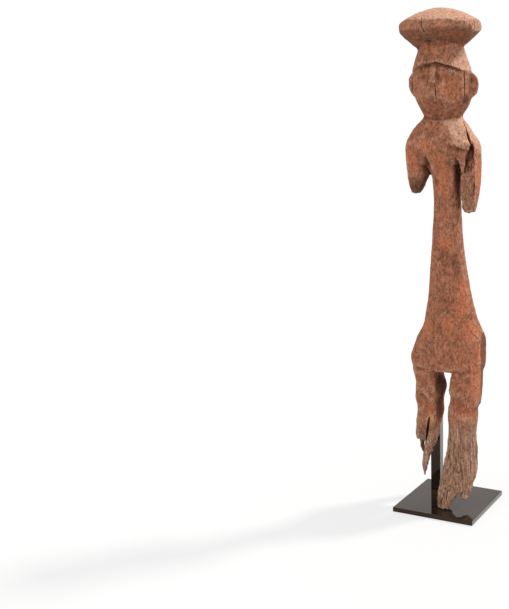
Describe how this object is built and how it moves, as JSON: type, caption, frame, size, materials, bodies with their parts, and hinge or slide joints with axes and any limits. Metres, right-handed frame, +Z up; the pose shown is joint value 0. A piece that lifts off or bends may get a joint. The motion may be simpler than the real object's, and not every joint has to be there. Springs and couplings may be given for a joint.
{
  "type": "carved standing figure",
  "caption": "Tall carved wooden figure with a wide disc headdress and worn feet, standing on a square metal plate against a flat post.",
  "frame": {"origin": "centre of the square plate's underside", "axes": "+Z up along the figure, -Y the way the figure faces, +X to the figure's left"},
  "size_m": [0.2, 0.2032, 1.1385],
  "materials": {
    "carved_wood": "dry, red ochre over brown, weathered grey at the feet and arm tips",
    "stand_metal": "near-black, smooth and half glossy"
  },
  "bodies": {
    "root": {"carved_figure": "carved_wood", "base_plate": "stand_metal", "support_post": "stand_metal"}
  },
  "joints": []
}
